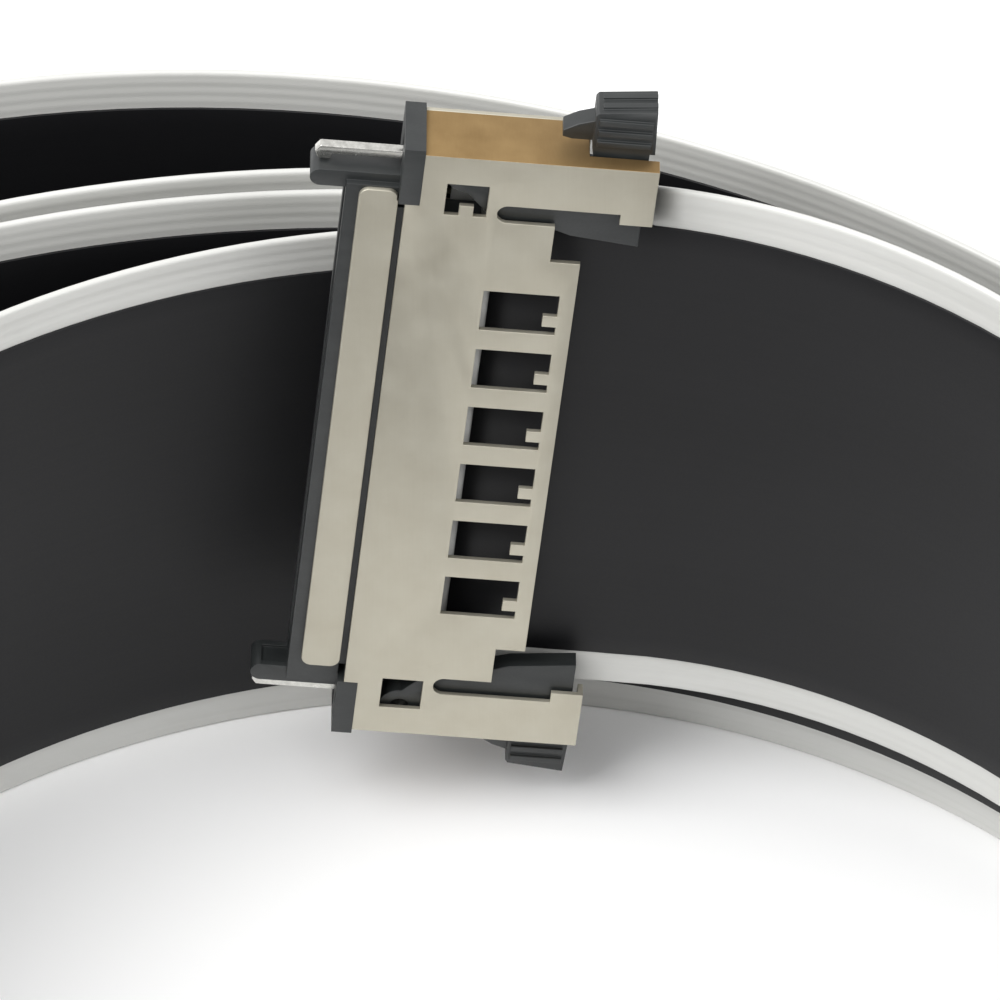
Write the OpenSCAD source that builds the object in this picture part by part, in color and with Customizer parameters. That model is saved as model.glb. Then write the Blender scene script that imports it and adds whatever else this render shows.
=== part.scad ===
// Shielded flat flex cable, wound in a loose coil that stands on its lower edge.
// A latching plug is fitted to its inner end, and its outer end is bare and stiffened.
// Millimetres. The origin is the middle of the coil's footprint, on the surface that it stands on.

/* [Cable] */
// Number of conductors
ways = 51; // [41:2:61]
// Spacing of the conductors
pitch = 0.5; // [0.45:0.05:0.6]
// Film between an outermost conductor and the cable's edge
selvedge = 0.5; // [0.4:0.05:0.8]
// Thickness of the white laminate
film_t = 0.3; // [0.2:0.02:0.36]
// Thickness of each black shield film
shield_t = 0.08; // [0.05:0.01:0.1]
// White margin above the shield films
margin_top = 1.85; // [1:0.05:4]
// White margin below the shield films
margin_bottom = 1.65; // [1:0.05:4]

/* [Coil] */
// Radius of the innermost full turn
coil_r = 33.85; // [32:0.05:45]
// Full turns after the lead from the plug
turns = 4; // [3:1:5]
// Distance between neighbouring turns where they lie close
turn_gap = 1.22; // [0.9:0.02:2]
// Distance from the end of the lead to the innermost turn
lead_gap = 0.7; // [0.7:0.05:2]
// How far the second turn bulges away from the first
inner_swell = 7.5; // [0:0.1:8]
// Direction of that bulge, clockwise from +Y
inner_swell_at = -70; // [-90:5:-20]
// How far the last turn bulges away from the one inside it
outer_swell = 5.9; // [0:0.1:8]
// Direction of the outer bulge
outer_swell_at = -35; // [-90:5:-20]
// Narrowness of the bulges
swell_focus = 6; // [2:1:8]
// Direction in which the lead has come up to the innermost turn
hug_at = 75; // [60:5:90]
// Direction in which the lead has come upright
upright_at = 100; // [80:5:120]
// Direction in which the lead has come down to the floor and the spiral starts
lead_at = 140; // [120:5:150]
// Angle that the cable runs on after its last full turn
tail_turn = 15; // [5:5:40]

/* [Bare end] */
// Length of the straight stiffened end
end_l = 10; // [8:0.5:16]
// Length of the bare conductors
bare_l = 5; // [3:0.5:6]
// Width of a bare conductor
strip_w = 0.3; // [0.2:0.02:0.34]
// Height of a bare conductor above the film
strip_t = 0.05; // [0.03:0.01:0.1]
// Thickness of the stiffener
stiffener_t = 0.2; // [0.1:0.02:0.3]
// Length of the stiffener
stiffener_l = 8; // [6:0.5:9]

/* [Plug] */
// Thickness of the plug over its two shells
plug_t = 2.8; // [2.6:0.1:3.4]
// Thickness of the shell sheet
sheet_t = 0.2; // [0.15:0.01:0.25]
// Length of shell past each edge of the cable
shell_over = 2.1; // [2:0.1:2.6]
// Depth of the shells from the fold line to the cable side
shell_depth = 6.9; // [6.8:0.05:8]
// Reach of the end strips past the cable side of the shells
strip_reach = 2.5; // [2.3:0.1:3]
// Depth of the mating nose in front of the shells
nose_depth = 2.25; // [2:0.05:3]
// Thickness of the mating nose
nose_t = 1.9; // [1.7:0.05:2]
// Height of the mating slot in the nose
slot_t = 0.9; // [0.8:0.05:1]
// Clear space between the plug's back and the coil at mid height
plug_clear = 2.9; // [1.6:0.05:3.2]
// Direction of the plug from the coil's axis, clockwise from +Y
plug_at = 0.6; // [-2:0.2:4]
// Turn of the plug about the vertical, cable side towards the axis
plug_yaw = 0; // [0:0.5:3]
// Lean of the plug's top away from the axis
plug_lean = 2; // [0:0.1:3]
// Roll of the plug's top towards the cable side
plug_roll = 5.8; // [3:0.1:7]
// Height of the plug's lowest point above the floor
plug_rise = 1.6; // [0:0.05:2]

/* [Shell windows] */
// Number of windows
windows = 6; // [4:1:7]
// Spacing of the windows
window_pitch = 3; // [2.6:0.1:3.2]
// Length of a window along the plug's depth
window_l = 2.9; // [2.4:0.1:3]
// Height of a window
window_h = 2; // [1.6:0.05:2.1]
// Sheet left between the windows and the cable side
window_rim = 0.6; // [0.4:0.05:0.8]
// Width and reach of the tongue in a window
tongue = 0.54; // [0.4:0.02:0.6]

/* [Latches] */
// Height that a press button stands past the end of the shell
button_h = 2.35; // [2:0.05:3.5]
// Width of a press button at its foot
button_w = 2.4; // [2.2:0.05:2.6]
// How much narrower it is at its end
button_taper = 0.1; // [0:0.05:0.5]
// Thickness of a press button
button_t = 1.3; // [1.1:0.05:1.3]
// Number of grip ribs on the front of a button
ribs = 3; // [2:1:4]
// Angle that a latch swings when it is pressed
latch_swing = 5; // [4:0.5:8]
// Radius of the pivot pin
pin_r = 0.35; // [0.3:0.01:0.4]
// Running clearance round the pivot pin
pin_clear = 0.05; // [0.03:0.01:0.08]
// Radius of the latch boss round the pin
boss_r = 0.85; // [0.75:0.01:0.86]
// Thickness of the metal lock arms
arm_t = 0.4; // [0.3:0.02:0.44]
// Reach of the lock arms in front of the shells
arm_reach = 3.65; // [3.4:0.05:4]

/* [Hidden] */

// Facets: angle between the coil's rings, and sides of a full circle.
ring_step = 5;
$fn = 48;

cable_w = (ways - 1) * pitch + 2 * selvedge;
half_w = cable_w / 2;
skin_t = film_t / 2 + shield_t;

// Colours
white_film = [0.80, 0.80, 0.79];
black_film = [0.14, 0.14, 0.15];
moulded_black = [0.17, 0.18, 0.18];
tinned_shell = [0.71, 0.69, 0.63];
bright_tin = [0.83, 0.83, 0.82];
stiffener_blue = [0.22, 0.40, 0.66];

// The plug's own frame: X runs from the nose to the cable, Z up its length, -Y faces the coil's
// axis. The cable's middle plane is y = 0, and the windows' left edges lie near x = 0.
shell_y = plug_t / 2;
inside_y = shell_y - sheet_t;
shell_z = half_w + shell_over;
shell_x1 = 3.5;
shell_x0 = shell_x1 - shell_depth;
strip_x1 = shell_x1 + strip_reach;
nose_x0 = shell_x0 - nose_depth;
ear_x0 = shell_x0 - 0.25;
ear_x1 = shell_x0 + 0.55;
ear_z0 = half_w - 0.45;
ear_z1 = shell_z + 0.2;
cable_in = -1.6;
front_in = -0.35;
shield_in = 0.8;
straight_out = strip_x1 + 0.2;
fit = 0.1;

// Latches: the pivot, the layers of the moulded lever and the button.
pivot_x = -1.1;
pivot_z = half_w + boss_r + fit;
lever_y0 = -inside_y + fit;
lever_y1 = -skin_t - fit;
button_y0 = lever_y1 - 0.25;
button_y1 = button_y0 + button_t;
button_x1 = strip_x1 - 0.2;
button_x0 = button_x1 - button_w;
plug_end = shell_z + button_h;

// The lowest point is the outer corner of the lower button. The cable carries the plug above the
// floor.
plug_z = plug_rise + plug_end * cos(plug_roll) * cos(plug_lean)
    + (button_x1 - button_taper) * sin(plug_roll) * cos(plug_lean) + button_y1 * sin(plug_lean);
plug_r = coil_r - plug_t / 2 - plug_clear;
plug_pos = [plug_r * sin(plug_at), plug_r * cos(plug_at), plug_z];

function rolled(v) = [v.x * cos(plug_roll) + v.z * sin(plug_roll), v.y,
    v.z * cos(plug_roll) - v.x * sin(plug_roll)];
function leaned(v) = [v.x, v.y * cos(plug_lean) + v.z * sin(plug_lean),
    v.z * cos(plug_lean) - v.y * sin(plug_lean)];
function yawed(v) = [v.x * cos(plug_yaw) + v.y * sin(plug_yaw),
    v.y * cos(plug_yaw) - v.x * sin(plug_yaw), v.z];
function turned(v) = yawed(leaned(rolled(v)));
function unit(v) = v / norm(v);
function ease(x) = let (c = min(max(x, 0), 1)) c * c * (3 - 2 * c);

// Spiral: u counts turns from the end of the lead. Each turn eases out over its first half by the
// gap to the next one, and that gap depends on the direction round the coil.
settle = 0.5;
function bulge(swell, at, where) = swell * pow((1 + cos(where - at)) / 2, swell_focus);
function gap(k, where) = k == 0 ? lead_gap
    : turn_gap + (k == 1 ? bulge(inner_swell, inner_swell_at, where) : 0)
    + (k == turns - 1 ? bulge(outer_swell, outer_swell_at, where) : 0);
function spiral_r(u) = let (where = lead_at + 360 * u)
    coil_r - lead_gap
    + [for (k = [0 : turns]) gap(k, where) * ease((u - k) / settle)] * [for (k = [0 : turns]) 1];
function spiral(u) = let (where = lead_at + 360 * u, r = spiral_r(u))
    [r * sin(where), r * cos(where), half_w];
du = ring_step / 360;
u_end = turns + tail_turn / 360;
spiral_rings = ceil(u_end / du);
function spiral_way(u) = unit(spiral(u + 0.001) - spiral(u - 0.001));

// Lead: it leaves the plug straight, comes up to the innermost turn and comes down to the floor.
// Its radius and its height are cubics of the direction round the coil, and its lean fades out.
exit_c = plug_pos + turned([straight_out, 0, 0]);
exit_t = turned([1, 0, 0]);
exit_r = norm([exit_c.x, exit_c.y]);
exit_at = atan2(exit_c.x, exit_c.y);
exit_lean = asin(turned([0, 0, 1]) * unit([-exit_t.y, exit_t.x, 0]));
// Change of radius and of height per degree at the exit.
exit_per_degree = exit_r * PI / 180 / (exit_t * [cos(exit_at), -sin(exit_at), 0]);
exit_dr = exit_per_degree * (exit_t * [sin(exit_at), cos(exit_at), 0]);
exit_dz = exit_per_degree * exit_t.z;
// From a at the exit, changing by rate per degree, to b from the given direction on.
function settled(where, until, a, rate, b) = let (span = until - exit_at,
        t = min((where - exit_at) / span, 1))
    a + (b - a) * ease(t) + rate * span * t * (1 - t) * (1 - t);
function lead(where) = let (r = settled(where, hug_at, exit_r, exit_dr, coil_r - lead_gap))
    [r * sin(where), r * cos(where), settled(where, lead_at, exit_c.z, exit_dz, half_w)];
function lead_lean(where) = exit_lean * (1 - ease((where - exit_at) / (upright_at - exit_at)));
lead_rings = ceil((lead_at - exit_at) / ring_step);
lead_step = (lead_at - exit_at) / lead_rings;

// The bare end runs straight on from the end of the spiral.
tail_c = spiral(u_end);
tail_t = spiral_way(u_end);
shield_stop = end_l - stiffener_l;

// Every ring of the cable: its centre, and the lean of its top away from the coil's axis.
route = concat(
    [for (x = [cable_in, front_in, shield_in, straight_out]) [plug_pos + turned([x, 0, 0]), exit_lean]],
    [for (i = [1 : lead_rings]) let (where = exit_at + i * lead_step) [lead(where), lead_lean(where)]],
    [for (i = [1 : spiral_rings]) [spiral(i * u_end / spiral_rings), 0]],
    [for (s = [shield_stop, end_l]) [tail_c + tail_t * s, 0]]);
last = len(route) - 1;

// The frame of a ring: centre, outward normal and the direction across the cable. In the plug that
// direction is square to the run. Round the coil it is upright, as the cable bends without a twist.
plug_rings = 4;
function ring_way(i) = unit(route[min(i + 1, last)][0] - route[max(i - 1, 0)][0]);
function ring_frame(i) = let (t = ring_way(i), out = unit([-t.y, t.x, 0]),
        up = i < plug_rings ? cross(t, out) : [0, 0, 1] / norm([t.x, t.y]),
        w = up * cos(route[i][1]) + out * sin(route[i][1]))
    [route[i][0], unit(cross(w, t)), w];
frames = [for (i = [0 : last]) ring_frame(i)];

// The corners of a band that runs from ring i0 to ring i1, between heights lo and hi across the
// cable and between inn and out along its normal.
function band_points(i0, i1, lo, hi, inn, out) = [for (i = [i0 : i1])
    for (q = [[lo, inn], [lo, out], [hi, out], [hi, inn]])
        frames[i][0] + frames[i][2] * q[0] + frames[i][1] * q[1]];

// A band whose face number crossed is split along the other diagonals: 1 is the outer face and 3 the
// inner one. A thin band has both faces split alike, so it doesn't cross itself where it twists.
module band(i0, i1, lo, hi, inn, out, crossed = -1) {
    n = i1 - i0 + 1;
    sides = [for (i = [0 : n - 2]) for (k = [0 : 3])
        let (a = 4 * i + k, b = 4 * i + (k + 1) % 4)
            each k == crossed ? [[a, a + 4, b], [b, a + 4, b + 4]] : [[a, a + 4, b + 4], [a, b + 4, b]]];
    ends = [[0, 1, 2], [0, 2, 3], [4 * n - 1, 4 * n - 2, 4 * n - 3], [4 * n - 1, 4 * n - 3, 4 * n - 4]];
    polyhedron(points = band_points(i0, i1, lo, hi, inn, out), faces = concat(sides, ends));
}

// The footprint's middle comes to the origin.
film_corners = band_points(0, last, -half_w, half_w, -film_t / 2, film_t / 2);
xs = [for (p = film_corners) p.x];
ys = [for (p = film_corners) p.y];
middle = [(max(xs) + min(xs)) / 2, (max(ys) + min(ys)) / 2, 0];

module in_coil() {
    translate(-middle) children();
}

module in_plug() {
    in_coil() translate(plug_pos) rotate([0, 0, -plug_yaw]) rotate([-plug_lean, 0, 0])
        rotate([0, plug_roll, 0]) children();
}

module in_tail() {
    in_coil() translate(tail_c) rotate([0, 0, atan2(tail_t.y, tail_t.x)]) children();
}

// A block given by its lowest and highest corners.
module block(a, b) {
    translate(a) cube(b - a);
}

// A plate drawn in X and Z, from y0 to y1.
module plate(y0, y1) {
    translate([0, y1, 0]) rotate([90, 0, 0]) linear_extrude(y1 - y0) children();
}

// A slot with one round end, drawn flat, from x0 to x1 and z0 to z1.
module round_slot(x0, x1, z0, z1) {
    r = (z1 - z0) / 2;
    translate([x0 + r, z0]) square([x1 - x0 - r, 2 * r]);
    translate([x0 + r, z0 + r]) circle(r);
}

// Both ends of the plug: a drawing of the upper end, and its mirror image.
module both_ends() {
    children();
    mirror([0, 0, 1]) children();
}

module both_ends_flat() {
    children();
    mirror([0, 1]) children();
}

// ---- Cable ----

module cable_film() {
    color(white_film) in_coil() band(0, last, -half_w, half_w, -film_t / 2, film_t / 2);
}

module shield_inner() {
    color(black_film) in_coil()
        band(1, last - 1, margin_bottom - half_w, half_w - margin_top, -skin_t, -film_t / 2, 3);
}

module shield_outer() {
    color(black_film) in_coil()
        band(2, last - 1, margin_bottom - half_w, half_w - margin_top, film_t / 2, skin_t, 1);
}

// The tail's frame has X along the cable, Y away from the coil's axis and Z across the cable.
module end_stiffener() {
    color(stiffener_blue) in_tail()
        block([shield_stop, film_t / 2, -half_w], [end_l, film_t / 2 + stiffener_t, half_w]);
}

module end_contacts() {
    color(bright_tin) in_tail() for (i = [0 : ways - 1])
        translate([end_l - bare_l, -film_t / 2 - strip_t, (i - (ways - 1) / 2) * pitch - strip_w / 2])
            cube([bare_l, strip_t, strip_w]);
}

// ---- Plug: moulded housing and contacts ----

core_x1 = 1.2;
core_front_x1 = front_in - 0.1;
core_z = half_w - 1;
web_x1 = -2.2;
contact_t = 0.12;
contact_w = 0.2;
slot_z = ((ways - 1) * pitch + contact_w) / 2 + fit;
nose_wall = 0.3;
nose_z = slot_z + nose_wall;
cavity_y0 = -skin_t - 0.02;
cavity_y1 = slot_t / 2;
guide_x0 = shell_x0 - arm_reach;
guide_z0 = half_w - 0.4;
guide_z1 = half_w + 0.4;
guide_t = 1.4;
arm_z0 = pivot_z - arm_t / 2;
arm_z1 = pivot_z + arm_t / 2;
arm_y = 0.2;
bed_y0 = skin_t + fit;

module guide_horn() {
    tip_r = (guide_z1 - guide_z0) / 2;
    plate(-guide_t / 2, guide_t / 2) {
        translate([guide_x0 + tip_r, guide_z0]) square([ear_x0 - guide_x0 - tip_r, 2 * tip_r]);
        translate([guide_x0 + tip_r, guide_z0 + tip_r]) circle(tip_r);
    }
}

module housing_end() {
    // Web beside the shell's end, and the ear that closes the end on the nose side.
    block([shell_x0, -inside_y, core_z], [web_x1, inside_y, shell_z - sheet_t]);
    block([ear_x0, -shell_y, ear_z0], [ear_x1, shell_y, ear_z1]);
    // Bed under the latch, which holds the pin.
    block([web_x1, bed_y0, core_z], [shell_x1 - 0.5, inside_y, shell_z - sheet_t]);
    guide_horn();
}

module housing_end_cuts() {
    // Way of the lock arm through web and ear, with room for its swing.
    block([guide_x0 - 1, -arm_y - fit, guide_z1], [web_x1 + 1, arm_y + fit, shell_z - sheet_t]);
    translate([pivot_x, 0, pivot_z]) rotate([-90, 0, 0]) cylinder(r = pin_r, h = shell_y);
}

module plug_housing() {
    color(moulded_black) in_plug() difference() {
        union() {
            block([shell_x0, -inside_y, -core_z], [core_front_x1, inside_y, core_z]);
            block([core_front_x1, cavity_y1, -core_z], [core_x1, inside_y, core_z]);
            block([ear_x0 - 0.05, -nose_t / 2, -core_z], [shell_x0, nose_t / 2, core_z]);
            block([nose_x0, -nose_t / 2, -nose_z], [ear_x0, nose_t / 2, nose_z]);
            both_ends() housing_end();
        }
        // Mating slot, and the cavity for the contacts and the cable.
        block([nose_x0 - 1, -slot_t / 2, -slot_z], [ear_x0 - 0.35, slot_t / 2, slot_z]);
        block([ear_x0 - 0.4, cavity_y0, -half_w - fit / 2], [core_x1 + 1, cavity_y1, half_w + fit / 2]);
        both_ends() housing_end_cuts();
    }
}

// One contact, drawn in X and Y: a tail on the cable's conductor, a step, and a sprung blade with a
// raised point in the mating slot.
module contact_profile() {
    top = cavity_y1;
    contact_land = film_t / 2;
    polygon([[0.4, contact_land], [0.4, contact_land + contact_t], [-2.2, contact_land + contact_t],
        [-2.6, top], [nose_x0 + 0.3, top], [nose_x0 + 0.3, top - contact_t],
        [nose_x0 + 0.6, top - 2 * contact_t], [nose_x0 + 0.9, top - contact_t],
        [-2.65, top - contact_t], [-2.25, contact_land]]);
}

module plug_contacts() {
    color(bright_tin) in_plug() for (i = [0 : ways - 1])
        translate([0, 0, (i - (ways - 1) / 2) * pitch - contact_w / 2])
            linear_extrude(contact_w) contact_profile();
}

// ---- Plug: shells ----

slit_z0 = half_w - 1;
slit_z1 = half_w - 0.15;
notch_z0 = half_w - 2.8;
notch_x0 = shell_x1 - 1.15;
port_x0 = pivot_x - 0.8;
port_x1 = pivot_x + 0.8;
port_z0 = half_w - 0.8;
port_z1 = half_w + 0.75;
flange_x1 = button_x0 - 0.05;

module front_outline() {
    // Middle panel and the two end strips.
    translate([shell_x0, -slit_z1]) square([shell_depth, 2 * slit_z1]);
    both_ends_flat() {
        translate([ear_x1, slit_z1]) square([strip_x1 - ear_x1, shell_z - slit_z1]);
        translate([strip_x1 - 1.25, slit_z1 - 0.5]) square([1.25, 0.6]);
    }
}

module front_cuts() {
    // Room for the housing's ear, the slit under the strip, the notch beside it and the square port.
    translate([shell_x0 - 1, ear_z0]) square([ear_x1 - shell_x0 + 1, half_w]);
    round_slot(0.1, shell_x1 + 0.01, slit_z0, slit_z1);
    translate([notch_x0, notch_z0]) square([2, slit_z0 - notch_z0 + 0.1]);
    translate([port_x0, port_z0]) square([port_x1 - port_x0, port_z1 - port_z0]);
}

module window() {
    difference() {
        square([window_l, window_h]);
        translate([window_l - tongue, window_h * 0.2]) square([tongue + 0.1, tongue]);
    }
}

module front_shell() {
    color(tinned_shell) in_plug() {
        plate(-shell_y, -inside_y) {
            difference() {
                front_outline();
                both_ends_flat() front_cuts();
                for (i = [0 : windows - 1])
                    translate([shell_x1 - window_rim - window_l,
                        (i - (windows - 1) / 2) * window_pitch - window_h / 2]) window();
            }
            // Retaining tab in the upper port.
            translate([pivot_x - 0.25, port_z0 - 0.1]) square([0.55, 0.6]);
        }
        // Flanges folded over the plug's ends, and lips down the ends of the strips.
        both_ends() {
            block([ear_x1, -inside_y, shell_z - sheet_t], [flange_x1, inside_y, shell_z]);
            block([flange_x1, -inside_y, shell_z - sheet_t], [strip_x1, button_y0 - 0.15, shell_z]);
            block([strip_x1 - sheet_t, -inside_y, slit_z1 - 0.5], [strip_x1, button_y0 - 0.15, shell_z]);
        }
    }
}

module back_shell() {
    color(tinned_shell) in_plug() plate(inside_y, shell_y) difference() {
        translate([shell_x0, -shell_z]) square([shell_depth, 2 * shell_z]);
        both_ends_flat() translate([shell_x0 - 1, ear_z0]) square([ear_x1 - shell_x0 + 1, half_w]);
    }
}

// Ground plate on the front of the nose, with round corners and cut back beside the upper ear.
module nose_plate() {
    r = 0.4;
    x0 = nose_x0 + 0.5;
    x1 = shell_x0 - 0.25;
    z0 = 1 - nose_z;
    z1 = nose_z - 0.05;
    color(tinned_shell) in_plug() plate(-nose_t / 2 - sheet_t, -nose_t / 2) difference() {
        union() {
            translate([x0 + r, z0]) square([x1 - x0 - 2 * r, z1 - z0]);
            translate([x0, z0 + r]) square([x1 - x0, z1 - z0 - 2 * r]);
            for (x = [x0 + r, x1 - r], z = [z0 + r, z1 - r]) translate([x, z]) circle(r);
        }
        translate([ear_x0 - fit / 2, ear_z0 - fit / 2]) square(2);
    }
}

// ---- Latches ----

pad_x0 = notch_x0 - 0.35;
pad_x1 = strip_x1 - 0.4;
pad_z0 = notch_z0 + 0.85;
lever_z1 = shell_z - sheet_t - 0.35;
nub_z0 = shell_z + (flange_x1 - pivot_x) * sin(latch_swing) + fit;

module lever_upper() {
    difference() {
        union() {
            // Boss, arm and pad, in front of the cable.
            plate(lever_y0, lever_y1) {
                translate([pivot_x, pivot_z]) circle(boss_r);
                polygon([[pivot_x, pivot_z - boss_r], [0, slit_z0 - 0.1], [pad_x0, slit_z0 - 0.1],
                    [pad_x0 + 0.3, pad_z0 + 0.55], [pad_x0 + 1, pad_z0 + 0.3], [pad_x1, pad_z0],
                    [pad_x1, lever_z1], [pivot_x, pivot_z + boss_r - 0.1]]);
            }
            plate(lever_y1, -arm_y) translate([pivot_x, pivot_z]) circle(boss_r);
            // Neck and press button, past the end of the shell.
            plate(button_y0, button_y1) polygon([[button_x0 + 0.2, half_w + 1.3], [pad_x1, half_w + 1.3],
                [pad_x1, shell_z + 0.15], [button_x1, shell_z + 0.15],
                [button_x1 - button_taper, plug_end - 0.1], [button_x0 + 0.1, plug_end - 0.35],
                [button_x0, plug_end - 0.5], [button_x0, shell_z + 0.3]]);
            // Stop that meets the flange when the button is pressed home.
            plate(button_y0 + 0.2, button_y0 + 1) polygon([[button_x0 + 0.1, nub_z0],
                [button_x0 + 0.1, nub_z0 + 1], [button_x0 - 0.6, nub_z0 + 0.75],
                [button_x0 - 1.15, nub_z0 + 0.4], [button_x0 - 1.15, nub_z0 + 0.1],
                [button_x0 - 0.8, nub_z0]]);
            rib_step = (button_h - 0.8) / ribs;
            for (i = [0 : ribs - 1])
                translate([button_x0 + 0.15, button_y0 - 0.12, shell_z + 0.45 + i * rib_step])
                    cube([button_w - button_taper - 0.25, 0.2, rib_step * 0.5]);
            for (y = [button_y0 + 0.25, button_y0 + 0.8]) plate(y, y + 0.25)
                polygon([[button_x0 + 0.25, plug_end - 0.6], [button_x1 - button_taper, plug_end - 0.6],
                    [button_x1 - button_taper, plug_end], [button_x0 + 0.25, plug_end - 0.22]]);
        }
        translate([pivot_x, -shell_y, pivot_z]) rotate([-90, 0, 0])
            cylinder(r = pin_r + pin_clear, h = plug_t);
    }
}

// Flat metal arm on the boss, with a hook at its nose end and a short tail beside the lever.
module arm_upper() {
    hook_x = guide_x0 + 0.1;
    difference() {
        plate(-arm_y, arm_y) {
            translate([pivot_x, pivot_z]) circle(boss_r);
            polygon([[pivot_x, arm_z1], [hook_x + 0.2, arm_z1], [hook_x, arm_z0 + 0.1],
                [hook_x + 0.15, arm_z0 - 0.25], [hook_x + 0.6, arm_z0 - 0.25], [hook_x + 0.7, arm_z0],
                [pivot_x, arm_z0]]);
        }
        translate([pivot_x, -shell_y, pivot_z]) rotate([-90, 0, 0])
            cylinder(r = pin_r + pin_clear, h = plug_t);
    }
}

// The pin is held in the bed and ends a little below the boss's front.
module pin_upper() {
    pin_y0 = lever_y0 + 0.45;
    translate([pivot_x, pin_y0, pivot_z]) rotate([-90, 0, 0]) cylinder(r = pin_r, h = inside_y - pin_y0);
}

module latch_lever_upper() {
    color(moulded_black) in_plug() lever_upper();
}

module latch_lever_lower() {
    color(moulded_black) in_plug() mirror([0, 0, 1]) lever_upper();
}

module lock_arm_upper() {
    color(bright_tin) in_plug() arm_upper();
}

module lock_arm_lower() {
    color(bright_tin) in_plug() mirror([0, 0, 1]) arm_upper();
}

module pivot_pin_upper() {
    color(bright_tin) in_plug() pin_upper();
}

module pivot_pin_lower() {
    color(bright_tin) in_plug() mirror([0, 0, 1]) pin_upper();
}

cable_film();
shield_inner();
shield_outer();
end_stiffener();
end_contacts();
plug_housing();
plug_contacts();
front_shell();
back_shell();
nose_plate();
latch_lever_upper();
latch_lever_lower();
lock_arm_upper();
lock_arm_lower();
pivot_pin_upper();
pivot_pin_lower();
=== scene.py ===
import math

import bmesh
import bpy
import numpy as np
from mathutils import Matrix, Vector


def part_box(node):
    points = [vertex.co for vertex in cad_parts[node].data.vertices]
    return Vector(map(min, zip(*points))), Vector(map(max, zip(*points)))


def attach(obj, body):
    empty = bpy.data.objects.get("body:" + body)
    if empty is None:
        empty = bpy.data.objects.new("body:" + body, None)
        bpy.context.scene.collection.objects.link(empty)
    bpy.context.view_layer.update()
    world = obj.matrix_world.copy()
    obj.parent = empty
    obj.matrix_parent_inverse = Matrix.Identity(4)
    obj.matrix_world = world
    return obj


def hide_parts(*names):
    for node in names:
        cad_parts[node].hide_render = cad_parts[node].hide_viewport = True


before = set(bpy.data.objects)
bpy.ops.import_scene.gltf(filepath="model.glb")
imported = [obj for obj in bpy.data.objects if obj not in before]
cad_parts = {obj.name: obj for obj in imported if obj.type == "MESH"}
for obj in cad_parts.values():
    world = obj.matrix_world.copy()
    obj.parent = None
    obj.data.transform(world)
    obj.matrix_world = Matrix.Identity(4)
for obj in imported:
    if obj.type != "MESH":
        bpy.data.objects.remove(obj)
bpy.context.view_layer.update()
scene = bpy.context.scene

# A shielded flat flex cable, wound in a loose coil that stands on its lower edge, with a latching
# plug on its inner end. Shapes are worked out in millimetres in the coil's own frame, whose Z axis
# is the coil's, and laid() brings them to metres in the frame of the solids.

MM = 0.001
PER_METRE = 1000

# ---- Sizes, in millimetres and degrees, as in the part's source ----

WAYS = 51
PITCH = 0.5
SELVEDGE = 0.5
FILM_T = 0.3
SHIELD_T = 0.08
MARGIN_TOP = 1.85
MARGIN_BOTTOM = 1.65
CABLE_W = (WAYS - 1) * PITCH + 2 * SELVEDGE
HALF_W = CABLE_W / 2
SKIN_T = FILM_T / 2 + SHIELD_T

COIL_R = 33.85
TURNS = 4
TURN_GAP = 1.22
LEAD_GAP = 0.7
SWELLS = {1: (7.5, -70.0), TURNS - 1: (5.9, -35.0)}
SWELL_FOCUS = 6
SETTLE = 0.5
HUG_AT = 75.0
UPRIGHT_AT = 100.0
LEAD_AT = 140.0
TAIL_TURN = 15.0
END_L = 10.0
STIFFENER_L = 8.0

PLUG_T = 2.8
SHELL_OVER = 2.1
PLUG_CLEAR = 2.9
PLUG_AT = 0.6
YAW, LEAN, ROLL = 0.0, 2.0, 5.8
CABLE_IN = -1.6
FRONT_IN = -0.35
SHIELD_IN = 0.8
STRAIGHT_OUT = 6.2
PIVOT_X = -1.1

ROOT = "cable_and_plug"
UPPER = "latch_upper_body"
LOWER = "latch_lower_body"

# ---- Frame of the plug and the way from millimetres to the solids' frame ----


def turn_matrix(axis, degrees):
    """Rotation by an angle about X, Y or Z, right-handed."""
    c, s = math.cos(math.radians(degrees)), math.sin(math.radians(degrees))
    i, j = [(1, 2), (2, 0), (0, 1)]["XYZ".index(axis)]
    m = np.eye(3)
    m[i, i] = m[j, j] = c
    m[j, i], m[i, j] = s, -s
    return m


# Columns: from the nose to the cable, away from the coil's axis, and up the plug's length.
PLUG_AXES = turn_matrix("Z", -YAW) @ turn_matrix("X", -LEAN) @ turn_matrix("Y", ROLL)


def box_middle(node):
    """The middle of a solid's box, in millimetres in the solids' frame."""
    low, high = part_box(node)
    return (np.array(low) + np.array(high)) / 2 * PER_METRE


# The pivots lie at equal heights above and below the plug's middle.
PIVOTS_MIDDLE = (box_middle("pivot_pin_upper") + box_middle("pivot_pin_lower")) / 2
PLUG_MIDDLE = PIVOTS_MIDDLE - PLUG_AXES[:, 0] * PIVOT_X
PLUG_R = COIL_R - PLUG_T / 2 - PLUG_CLEAR
PLUG_WAY = math.radians(PLUG_AT)
PLUG_POS = np.array([PLUG_R * math.sin(PLUG_WAY), PLUG_R * math.cos(PLUG_WAY), PLUG_MIDDLE[2]])
SHIFT = PLUG_MIDDLE - PLUG_POS


def laid(points):
    """Points in millimetres in the coil's frame, as metres in the solids' frame."""
    return (np.asarray(points) + SHIFT) * MM


def in_plug(points):
    """Points in the plug's frame (X to the cable, Y outward, Z up), in the coil's frame."""
    return np.asarray(points) @ PLUG_AXES.T + PLUG_POS


# ---- Route of the cable ----

PLUG_RINGS = 9
LEAD_RINGS = 60
RINGS_PER_TURN = 180
TAIL_RINGS = 7
SMALL_TURN = 0.001


def ease(x):
    """0 below 0, 1 above 1, and 3x^2 - 2x^3 between."""
    x = np.clip(x, 0, 1)
    return x * x * (3 - 2 * x)


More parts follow.
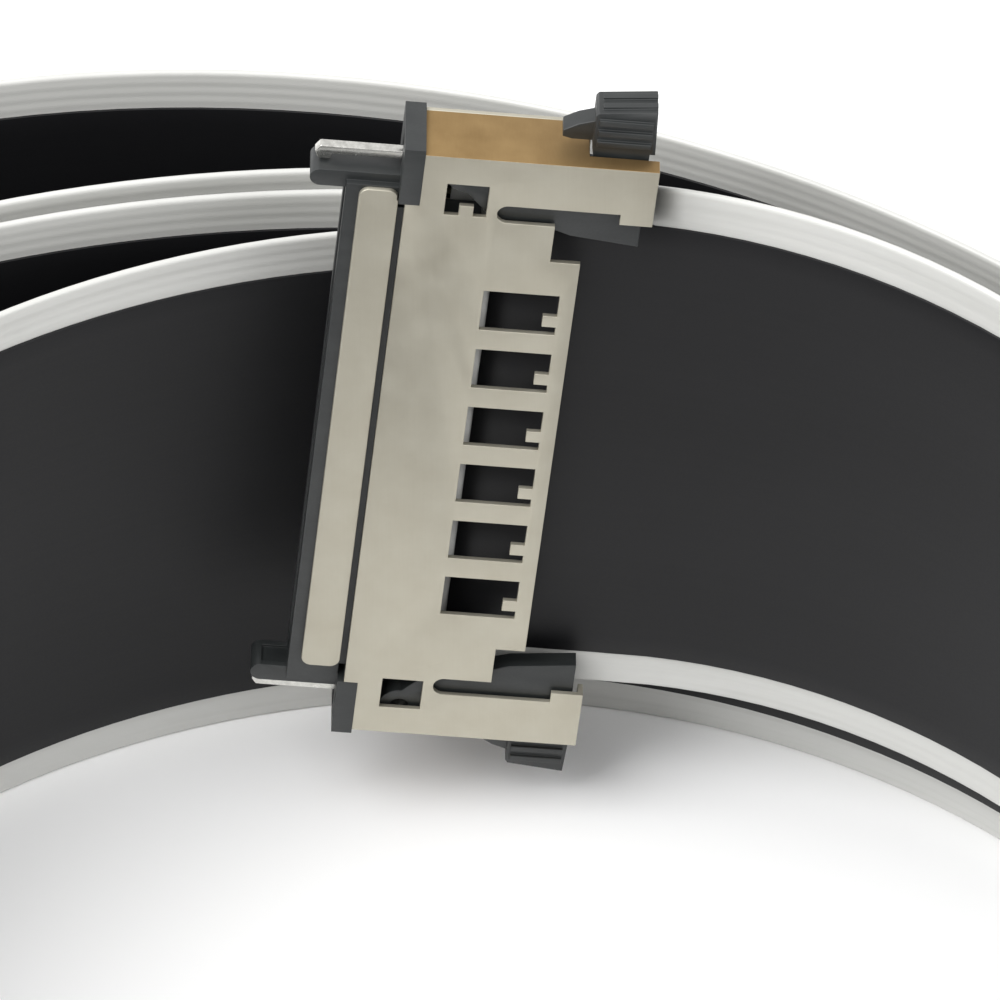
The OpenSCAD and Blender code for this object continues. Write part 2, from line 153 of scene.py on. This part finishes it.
def gap(k, where):
    """Distance that turn k adds in each direction: the turn gap, and a bulge that falls off as a
    power of (1 + cos) / 2 of the angle from its middle."""
    if k == 0:
        return np.full_like(where, LEAD_GAP)
    swell, middle = SWELLS.get(k, (0.0, 0.0))
    return TURN_GAP + swell * ((1 + np.cos(np.radians(where - middle))) / 2) ** SWELL_FOCUS


def spiral(u):
    """Centre of the cable after u turns: a circle whose radius grows by gap(k) over the first half
    of turn k, at the height of half the cable's width."""
    where = LEAD_AT + 360 * u
    r = COIL_R - LEAD_GAP + sum(gap(k, where) * ease((u - k) / SETTLE) for k in range(TURNS + 1))
    a = np.radians(where)
    return np.stack([r * np.sin(a), r * np.cos(a), np.full_like(r, HALF_W)], 1)


def unit(v):
    """Vectors divided by their lengths."""
    return v / np.linalg.norm(v, axis=-1, keepdims=True)


def lead(where, start):
    """Centres and leans of the lead for directions round the coil, from the last point in the
    plug. Radius and height are a + (b - a) (3t^2 - 2t^3) + rate t (1 - t)^2: they leave the plug
    along its own axis and arrive level, the radius at HUG_AT and the height at LEAD_AT. The lean
    fades out up to UPRIGHT_AT."""
    way = PLUG_AXES[:, 0]
    radius, first = math.hypot(start[0], start[1]), where[0]
    c, s = math.cos(math.radians(first)), math.sin(math.radians(first))
    per_degree = radius * math.pi / 180 / (way[0] * c - way[1] * s)

    def settled(until, a, rate, b):
        span = until - first
        t = np.minimum((where - first) / span, 1)
        return a + (b - a) * ease(t) + rate * per_degree * span * t * (1 - t) ** 2

    r = settled(HUG_AT, radius, way[0] * s + way[1] * c, COIL_R - LEAD_GAP)
    z = settled(LEAD_AT, start[2], way[2], HALF_W)
    out = unit(np.array([-way[1], way[0], 0]))
    lean = math.asin(PLUG_AXES[:, 2] @ out) * (1 - ease((where - first) / (UPRIGHT_AT - first)))
    a = np.radians(where)
    return np.stack([r * np.sin(a), r * np.cos(a), z], 1), lean


def route():
    """Centres of the cable, directions across it, outward normals and the run to each centre: a
    straight part in the plug, the lead, the spiral and a straight end. The direction across is
    square to the run in the plug and upright round the coil, where the cable bends without a
    twist."""
    straight = in_plug([[x, 0, 0] for x in np.linspace(CABLE_IN, STRAIGHT_OUT, PLUG_RINGS)])
    exit_at = math.degrees(math.atan2(straight[-1, 0], straight[-1, 1]))
    led, lean = lead(np.linspace(exit_at, LEAD_AT, LEAD_RINGS + 1), straight[-1])
    u_end = TURNS + TAIL_TURN / 360
    coil = spiral(np.linspace(0, u_end, int(u_end * RINGS_PER_TURN) + 1)[1:])
    last = spiral(np.array([u_end - SMALL_TURN, u_end + SMALL_TURN]))
    tail_way = unit(last[1] - last[0])
    tail = coil[-1] + tail_way * np.linspace(0, END_L, TAIL_RINGS + 1)[1:, None]
    centres = np.vstack([straight, led[1:], coil, tail])
    leans = np.zeros(len(centres))
    leans[:PLUG_RINGS] = lean[0]
    leans[PLUG_RINGS - 1:PLUG_RINGS + LEAD_RINGS] = lean
    way = unit(np.gradient(centres, axis=0))
    way[:PLUG_RINGS] = PLUG_AXES[:, 0]
    way[-TAIL_RINGS:] = tail_way
    out = unit(np.stack([-way[:, 1], way[:, 0], np.zeros(len(way))], 1))
    up = np.cross(way, out)
    level = np.linalg.norm(way[PLUG_RINGS:, :2], axis=1)
    up[PLUG_RINGS:] = np.array([0, 0, 1]) / level[:, None]
    across = up * np.cos(leans)[:, None] + out * np.sin(leans)[:, None]
    run = np.concatenate([[0], np.cumsum(np.linalg.norm(np.diff(centres, axis=0), axis=1))])
    return centres, across, unit(np.cross(across, way)), run


CENTRES, ACROSS, OUTWARD, RUN = route()
CABLE_LENGTH = RUN[-1]

# ---- Colour and shader nodes ----


def linear(hex_colour):
    """An sRGB hex colour as linear red, green, blue and alpha."""
    c = np.array([int(hex_colour[i:i + 2], 16) / 255 for i in (1, 3, 5)])
    c = np.where(c <= 0.04045, c / 12.92, ((c + 0.055) / 1.055) ** 2.4)
    return (*c.tolist(), 1.0)


def add(tree, kind, feeds, stops=(), **settings):
    """Adds a node. feeds fills its inputs, by name or number: a node or an output is linked, and
    anything else is the input's value. stops are the places and hex colours of a colour ramp, and
    settings are the node's own attributes."""
    node = tree.nodes.new("ShaderNode" + kind)
    for name, value in settings.items():
        setattr(node, name, value)
    for place, feed in feeds.items():
        if isinstance(feed, bpy.types.Node):
            feed = feed.outputs[0]
        if isinstance(feed, bpy.types.NodeSocket):
            tree.links.new(feed, node.inputs[place])
        else:
            node.inputs[place].default_value = feed
    if stops:
        for element, (place, colour) in zip(node.color_ramp.elements, stops):
            element.position, element.color = place, linear(colour)
    return node


def blank(name):
    """A new material without nodes, and its tree."""
    material = bpy.data.materials.new(name)
    material.use_nodes = True
    material.node_tree.nodes.clear()
    return material, material.node_tree


def pattern(tree, at, repeats_mm, detail):
    """Soft noise from 0 to 1. Each coordinate, in metres, is divided by a real size in millimetres,
    which is about what one repeat of the pattern measures that way."""
    scale = [PER_METRE / size for size in repeats_mm] + [1] * (3 - len(repeats_mm))
    spread = add(tree, "Mapping", {"Vector": at, "Scale": scale})
    return add(tree, "TexNoise", {"Vector": spread, "Scale": 1, "Detail": detail, "Roughness": 0.5})


# ---- Materials ----


def polyester_laminate():
    """Milky white polyester film over flat copper conductors: satin, with long faint streaks where
    the film follows each conductor, and a slightly darker cast over the metal. The streaks are
    about as wide as the conductors' pitch."""
    material, tree = blank("white_polyester_laminate")
    uv = add(tree, "UVMap", {}, uv_map="cable")
    streaks = pattern(tree, uv, (40, 0.45), 2)
    clouds = pattern(tree, uv, (9, 3), 3)
    both = add(tree, "Math", {0: streaks, 1: clouds}, operation="ADD")
    spread = add(tree, "MapRange", {"Value": both, "To Min": -0.5, "To Max": 0.5})
    tone = add(tree, "ValToRGB", {"Fac": spread}, [(0.0, "#bcbcb8"), (1.0, "#dadad7")])
    dull = add(tree, "MapRange", {"Value": clouds, "To Min": 0.3, "To Max": 0.46})
    relief = add(tree, "Bump", {"Height": streaks, "Strength": 0.35, "Distance": 0.02 * MM})
    shader = add(tree, "BsdfPrincipled",
                 {"Base Color": tone, "Roughness": dull, "Normal": relief, "IOR": 1.57})
    add(tree, "OutputMaterial", {"Surface": shader})
    return material


def shielding_film():
    """Black conductive shielding film on a soft adhesive: a low satin sheen, faint lengthwise bands
    from the conductors below it and slow unevenness in the glue. The film's own grain is finer
    than 0.12 mm, and is drawn at that size so that it shows."""
    material, tree = blank("black_shielding_film")
    uv = add(tree, "UVMap", {}, uv_map="cable")
    slow = pattern(tree, uv, (22, 9), 2)
    bands = pattern(tree, uv, (60, 0.5), 1)
    grain = pattern(tree, uv, (0.12, 0.12), 2)
    tone = add(tree, "ValToRGB", {"Fac": slow}, [(0.3, "#101012"), (0.7, "#161618")])
    dull = add(tree, "MapRange", {"Value": grain, "To Min": 0.42, "To Max": 0.58})
    height = add(tree, "Math", {0: slow, 1: 6.0, 2: bands}, operation="MULTIPLY_ADD")
    relief = add(tree, "Bump", {"Height": height, "Strength": 0.25, "Distance": 0.02 * MM})
    shader = add(tree, "BsdfPrincipled",
                 {"Base Color": tone, "Roughness": dull, "Normal": relief, "IOR": 1.35})
    add(tree, "OutputMaterial", {"Surface": shader})
    return material


def tinned_sheet(name, dark, light):
    """Cold-rolled copper alloy with matt tin plating: warm grey metal, fine rolling lines across
    the plug and soft mottling where the plating is thinner. The rolling lines are finer than
    0.08 mm, and are drawn at that size so that they show."""
    material, tree = blank(name)
    at = add(tree, "TexCoord", {}).outputs["Object"]
    lines = pattern(tree, at, (0.08, 0.5, 2.5), 3)
    mottle = pattern(tree, at, (1.6, 1.6, 1.6), 4)
    mixed = add(tree, "Math", {0: lines, 1: 0.15, 2: mottle}, operation="MULTIPLY_ADD")
    tone = add(tree, "ValToRGB", {"Fac": mixed}, [(0.35, dark), (0.8, light)])
    dull = add(tree, "MapRange", {"Value": mottle, "To Min": 0.5, "To Max": 0.6})
    relief = add(tree, "Bump", {"Height": lines, "Strength": 0.1, "Distance": 0.01 * MM})
    shader = add(tree, "BsdfPrincipled",
                 {"Base Color": tone, "Roughness": dull, "Normal": relief, "Metallic": 1.0})
    add(tree, "OutputMaterial", {"Surface": shader})
    return material


def plated_steel():
    """Small stamped or drawn steel piece with bright nickel plating: a clear gloss with slight
    unevenness."""
    material, tree = blank("nickel_plated_steel")
    at = add(tree, "TexCoord", {}).outputs["Object"]
    marks = pattern(tree, at, (0.2, 0.2, 0.2), 3)
    tone = add(tree, "ValToRGB", {"Fac": marks}, [(0.3, "#c2c1bc"), (0.7, "#dcdbd6")])
    dull = add(tree, "MapRange", {"Value": marks, "To Min": 0.18, "To Max": 0.32})
    shader = add(tree, "BsdfPrincipled", {"Base Color": tone, "Roughness": dull, "Metallic": 1.0})
    add(tree, "OutputMaterial", {"Surface": shader})
    return material


def tin_contact():
    """Stamped phosphor bronze contact with bright tin on it: pale metal with a warm cast where the
    tin is thin."""
    material, tree = blank("tinned_bronze_contact")
    at = add(tree, "TexCoord", {}).outputs["Object"]
    marks = pattern(tree, at, (0.3, 0.3, 0.3), 3)
    tone = add(tree, "ValToRGB", {"Fac": marks}, [(0.3, "#c9bfa6"), (0.7, "#dedbd0")])
    shader = add(tree, "BsdfPrincipled", {"Base Color": tone, "Roughness": 0.28, "Metallic": 1.0})
    add(tree, "OutputMaterial", {"Surface": shader})
    return material


def moulded_polymer():
    """Injection-moulded liquid crystal polymer with glass fibre: near-black, dull, with a fine
    grain and short flow streaks. The grain is finer than 0.12 mm, and is drawn at that size so
    that it shows."""
    material, tree = blank("moulded_crystal_polymer")
    at = add(tree, "TexCoord", {}).outputs["Object"]
    grain = pattern(tree, at, (0.12, 0.12, 0.12), 4)
    flow = pattern(tree, at, (2.5, 1, 0.7), 3)
    tone = add(tree, "ValToRGB", {"Fac": flow}, [(0.3, "#181b1c"), (0.7, "#262929")])
    dull = add(tree, "MapRange", {"Value": grain, "To Min": 0.4, "To Max": 0.58})
    relief = add(tree, "Bump", {"Height": grain, "Strength": 0.3, "Distance": 0.015 * MM})
    shader = add(tree, "BsdfPrincipled",
                 {"Base Color": tone, "Roughness": dull, "Normal": relief, "IOR": 1.6})
    add(tree, "OutputMaterial", {"Surface": shader})
    return material


def blue_stiffener():
    """Dyed polyester stiffener glued to the bare end: even blue, glossy, with faint haze."""
    material, tree = blank("blue_polyester_stiffener")
    at = add(tree, "TexCoord", {}).outputs["Object"]
    haze = pattern(tree, at, (2, 2, 2), 4)
    tone = add(tree, "ValToRGB", {"Fac": haze}, [(0.3, "#2458a0"), (0.7, "#2d66b4")])
    dull = add(tree, "MapRange", {"Value": haze, "To Min": 0.2, "To Max": 0.34})
    shader = add(tree, "BsdfPrincipled", {"Base Color": tone, "Roughness": dull, "IOR": 1.57})
    add(tree, "OutputMaterial", {"Surface": shader})
    return material


LAMINATE = polyester_laminate()
SHIELD = shielding_film()
TIN_SHEET = tinned_sheet("tin_plated_sheet", "#beb9aa", "#c7c3b5")
# A darker, browner copy of the same tin sheet for the broad end faces of the front shell: painted
# shade, with a warm cast, where the same metal takes the light differently.
SHADED_END_SHEET = tinned_sheet("shaded_end_tin_sheet", "#927852", "#a58b62")
STEEL = plated_steel()
CONTACT = tin_contact()
POLYMER = moulded_polymer()
STIFFENER = blue_stiffener()

# ---- The ribbon ----

RIDGE = 0.012
POINTS_PER_PITCH = 6
CORNER = 0.6


def film_profile():
    """Outline of the laminate, closed, as heights across the cable and offsets along its normal.
    Both faces are flat with a low cosine ridge over each conductor of the white margins, and both
    edges are half circles of the film's thickness."""
    r = FILM_T / 2
    fine = PITCH / POINTS_PER_PITCH
    low = np.arange(-HALF_W + r, -HALF_W + MARGIN_BOTTOM + fine, fine)
    high = np.arange(HALF_W - MARGIN_TOP - fine, HALF_W - r, fine)
    face = np.concatenate([low, np.linspace(low[-1], high[0], 8)[1:-1], high])
    over = np.abs(face) <= WAYS * PITCH / 2
    bare = (face < -HALF_W + MARGIN_BOTTOM) | (face > HALF_W - MARGIN_TOP)
    ridge = RIDGE * (1 + np.cos(2 * np.pi * face / PITCH)) / 2 * over * bare
    turn = np.linspace(-90, 90, 7)[1:-1]
    edge = np.stack([r * np.cos(np.radians(turn)), r * np.sin(np.radians(turn))], 1)
    top = np.stack([HALF_W - r + edge[:, 0], -edge[:, 1]], 1)
    bottom = np.stack([r - HALF_W - edge[:, 0], edge[:, 1]], 1)
    outer = np.stack([face, r + ridge], 1)
    inner = np.stack([face[::-1], -r - ridge[::-1]], 1)
    return np.vstack([outer, top, inner, bottom])


def shield_profile(side):
    """Outline of a shield film on the inner (-1) or outer (1) face: a strip between the margins,
    glued flat to the laminate, with its exposed corners rounded."""
    low, high = MARGIN_BOTTOM - HALF_W, HALF_W - MARGIN_TOP
    r = SHIELD_T * CORNER
    turn = np.radians(np.linspace(0, 90, 4))
    start = np.stack([low + r - r * np.cos(turn), SKIN_T - r + r * np.sin(turn)], 1)
    end = np.stack([high - r + r * np.sin(turn), SKIN_T - r + r * np.cos(turn)], 1)
    across = np.linspace(low + r, high - r, 24)[1:-1]
    flat = np.stack([across, np.full_like(across, SKIN_T)], 1)
    back = [[high, FILM_T / 2], [low, FILM_T / 2]]
    outline = np.vstack([start, flat, end, back])
    if side < 0:
        outline = outline[::-1] * [1, -1]
    return outline


def strip(name, profile, first, last, material, node):
    """A profile carried along the route from one ring to another: each point is the centre plus
    its height times the cross direction plus its offset times the outward normal. Its UV map holds
    the run along the cable and the height across it, in metres."""
    c, w, n = CENTRES[first:last], ACROSS[first:last], OUTWARD[first:last]
    rings, sides = len(c), len(profile)
    points = c[:, None] + w[:, None] * profile[None, :, :1] + n[:, None] * profile[None, :, 1:]
    index = np.arange(rings * sides).reshape(rings, sides)
    following = np.roll(index, -1, axis=1)
    quads = np.stack([index[:-1], following[:-1], following[1:], index[1:]], -1).reshape(-1, 4)
    faces = quads.tolist() + [index[0, ::-1].tolist(), index[-1].tolist()]
    mesh = bpy.data.meshes.new(name)
    mesh.from_pydata(laid(points.reshape(-1, 3)).tolist(), [], faces)
    run = np.repeat(RUN[first:last], sides) * MM
    height = np.tile(profile[:, 0], rings) * MM
    corners = np.empty(len(mesh.loops), dtype=np.int32)
    mesh.loops.foreach_get("vertex_index", corners)
    uv = mesh.uv_layers.new(name="cable")
    uv.data.foreach_set("uv", np.stack([run[corners], height[corners]], 1).ravel())
    mesh.polygons.foreach_set("use_smooth", np.ones(len(mesh.polygons), dtype=bool))
    mesh.update()
    return shown(name, mesh, material, ROOT, node)


def shown(name, mesh, material, body, node):
    """Puts a mesh into the scene as a piece that rides on a body and stands for a solid."""
    piece = bpy.data.objects.new(name, mesh)
    scene.collection.objects.link(piece)
    piece.data.materials.clear()
    piece.data.materials.append(material)
    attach(piece, body)
    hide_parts(node)
    return piece


FIRST_INNER = int(np.searchsorted(RUN, FRONT_IN - CABLE_IN))
FIRST_OUTER = int(np.searchsorted(RUN, SHIELD_IN - CABLE_IN))
LAST_SHIELDED = int(np.searchsorted(RUN, CABLE_LENGTH - STIFFENER_L)) + 1
strip("laminate", film_profile(), 0, len(RUN), LAMINATE, "cable_film")
strip("shield_film_inner", shield_profile(-1), FIRST_INNER, LAST_SHIELDED,
      SHIELD, "shield_inner")
strip("shield_film_outer", shield_profile(1), FIRST_OUTER, LAST_SHIELDED,
      SHIELD, "shield_outer")

# ---- Pieces of the plug: the solids with their edges broken ----

SHARP = math.radians(25)
FLAT = math.radians(1)
MERGE_WITHIN = 2e-6
NEAR_MM = 0.01
SQUARE = 0.99
FLANGE_AREA = 5e-6
BEVEL_STEPS = 3


def on_fold(points):
    """Whether points in the plug's frame lie on a fold, the line where the shell's face meets one
    of the plug's ends."""
    return all(abs(abs(z) - HALF_W - SHELL_OVER) < NEAR_MM and abs(y + PLUG_T / 2) < NEAR_MM
               for x, y, z in points)


def edged(name, node, material, body, edge_mm, fold_mm=0.0, flange=None):
    """A copy of a solid, merged, with every sharp edge rounded, and its folds rounded more. The
    broad faces that are square to the plug's length can have a material of their own: a darker copy
    of the same metal that paints shade onto them."""
    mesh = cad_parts[node].data.copy()
    mesh.name = name
    bm = bmesh.new()
    bm.from_mesh(mesh)
    bmesh.ops.remove_doubles(bm, verts=bm.verts, dist=MERGE_WITHIN)
    bmesh.ops.dissolve_limit(bm, angle_limit=FLAT, verts=bm.verts, edges=bm.edges)
    weight = bm.edges.layers.float.new("bevel_weight_edge")
    largest = max(edge_mm, fold_mm)
    for edge in bm.edges:
        if len(edge.link_faces) != 2 or edge.calc_face_angle(0) < SHARP:
            continue
        ends = [(np.array(v.co) * PER_METRE - PLUG_MIDDLE) @ PLUG_AXES for v in edge.verts]
        edge[weight] = 1.0 if fold_mm and on_fold(ends) else edge_mm / largest
    bm.to_mesh(mesh)
    bm.free()
    mesh.polygons.foreach_set("use_smooth", np.ones(len(mesh.polygons), dtype=bool))
    piece = shown(name, mesh, material, body, node)
    if flange:
        mesh.materials.append(flange)
        for face in mesh.polygons:
            square = abs(np.array(face.normal) @ PLUG_AXES[:, 2]) > SQUARE
            if square and face.area > FLANGE_AREA:
                face.material_index = 1
    bevel = piece.modifiers.new("broken_edges", "BEVEL")
    bevel.width = largest * MM
    bevel.segments = BEVEL_STEPS
    bevel.limit_method = "WEIGHT"
    bevel.harden_normals = True
    return piece


# The front shell's end faces get the darker copy of the tin sheet: painted shade.
edged("shell_front", "front_shell", TIN_SHEET, ROOT, 0.04, 0.19, SHADED_END_SHEET)
edged("shell_back", "back_shell", TIN_SHEET, ROOT, 0.04)
edged("ground_plate", "nose_plate", TIN_SHEET, ROOT, 0.08)
edged("housing", "plug_housing", POLYMER, ROOT, 0.06)
for side, body in (("upper", UPPER), ("lower", LOWER)):
    edged("lever_" + side, "latch_lever_" + side, POLYMER, body, 0.06)
    edged("arm_" + side, "lock_arm_" + side, STEEL, body, 0.05)

KEPT_SOLIDS = {"end_stiffener": STIFFENER, "end_contacts": CONTACT, "plug_contacts": CONTACT,
               "pivot_pin_upper": STEEL, "pivot_pin_lower": STEEL}
for node, material in KEPT_SOLIDS.items():
    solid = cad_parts[node]
    solid.data.materials.clear()
    solid.data.materials.append(material)

# ---- Floor, light and camera ----

FLOOR_SIZE = 3.0
TARGET = laid([[1.78, 30.3, 14.7]])[0]
VIEW_DISTANCE = 0.45
VIEW_DOWN = 45.0
LENS = 416.3
SENSOR = 36.0
LIT_POINT = (0, 0.02, 0.015)
WHITE = (1, 1, 1, 1)
SEEN, LIT = 1.0, 0.85


def floor():
    """A plain pale floor, white where it is fully lit, which takes the object's soft shadow."""
    mesh = bpy.data.meshes.new("floor")
    half = FLOOR_SIZE / 2
    corners = [(-half, -half, 0), (half, -half, 0), (half, half, 0), (-half, half, 0)]
    mesh.from_pydata(corners, [], [(0, 1, 2, 3)])
    plane = bpy.data.objects.new("floor", mesh)
    scene.collection.objects.link(plane)
    material, tree = blank("pale_satin_floor")
    shader = add(tree, "BsdfPrincipled", {"Base Color": linear("#fbfbfb"), "Roughness": 0.4})
    add(tree, "OutputMaterial", {"Surface": shader})
    mesh.materials.append(material)


def world_light():
    """Even white surroundings: pure white to the camera and in reflections, and a little dimmer as
    the light on the object."""
    world = bpy.data.worlds.new("surroundings")
    scene.world = world
    world.use_nodes = True
    tree = world.node_tree
    tree.nodes.clear()
    rays = add(tree, "LightPath", {}).outputs
    mirrored = add(tree, "Math", {0: rays["Is Glossy Ray"], 1: rays["Is Transmission Ray"]},
                   operation="MAXIMUM")
    plain = add(tree, "Math", {0: rays["Is Camera Ray"], 1: mirrored}, operation="MAXIMUM")
    seen = add(tree, "Background", {"Color": WHITE, "Strength": SEEN})
    lit = add(tree, "Background", {"Color": WHITE, "Strength": LIT})
    mix = add(tree, "MixShader", {0: plain, 1: lit, 2: seen})
    add(tree, "OutputWorld", {"Surface": mix})


def lamp(name, place, size, power):
    """A square area lamp at a place, aimed at the plug. Metres and watts."""
    data = bpy.data.lights.new(name, "AREA")
    data.size = size
    data.energy = power
    thing = bpy.data.objects.new(name, data)
    thing.location = place
    thing.rotation_euler = (Vector(LIT_POINT) - Vector(place)).to_track_quat("-Z", "Y").to_euler()
    scene.collection.objects.link(thing)


def camera():
    """A long lens that looks down at the plug from the front."""
    data = bpy.data.cameras.new("camera")
    thing = bpy.data.objects.new("camera", data)
    scene.collection.objects.link(thing)
    down = math.radians(VIEW_DOWN)
    back = Vector((0, -math.cos(down), math.sin(down)))
    thing.location = Vector(TARGET) + back * VIEW_DISTANCE
    thing.rotation_euler = (-back).to_track_quat("-Z", "Y").to_euler()
    data.lens = LENS
    data.sensor_width = SENSOR
    data.clip_start, data.clip_end = 0.01, 10.0
    scene.camera = thing


floor()
world_light()
lamp("key", (-0.35, -0.15, 0.55), 0.5, 4.5)
lamp("fill", (0.5, -0.3, 0.35), 0.6, 2.0)
camera()
scene.view_settings.view_transform = "Standard"
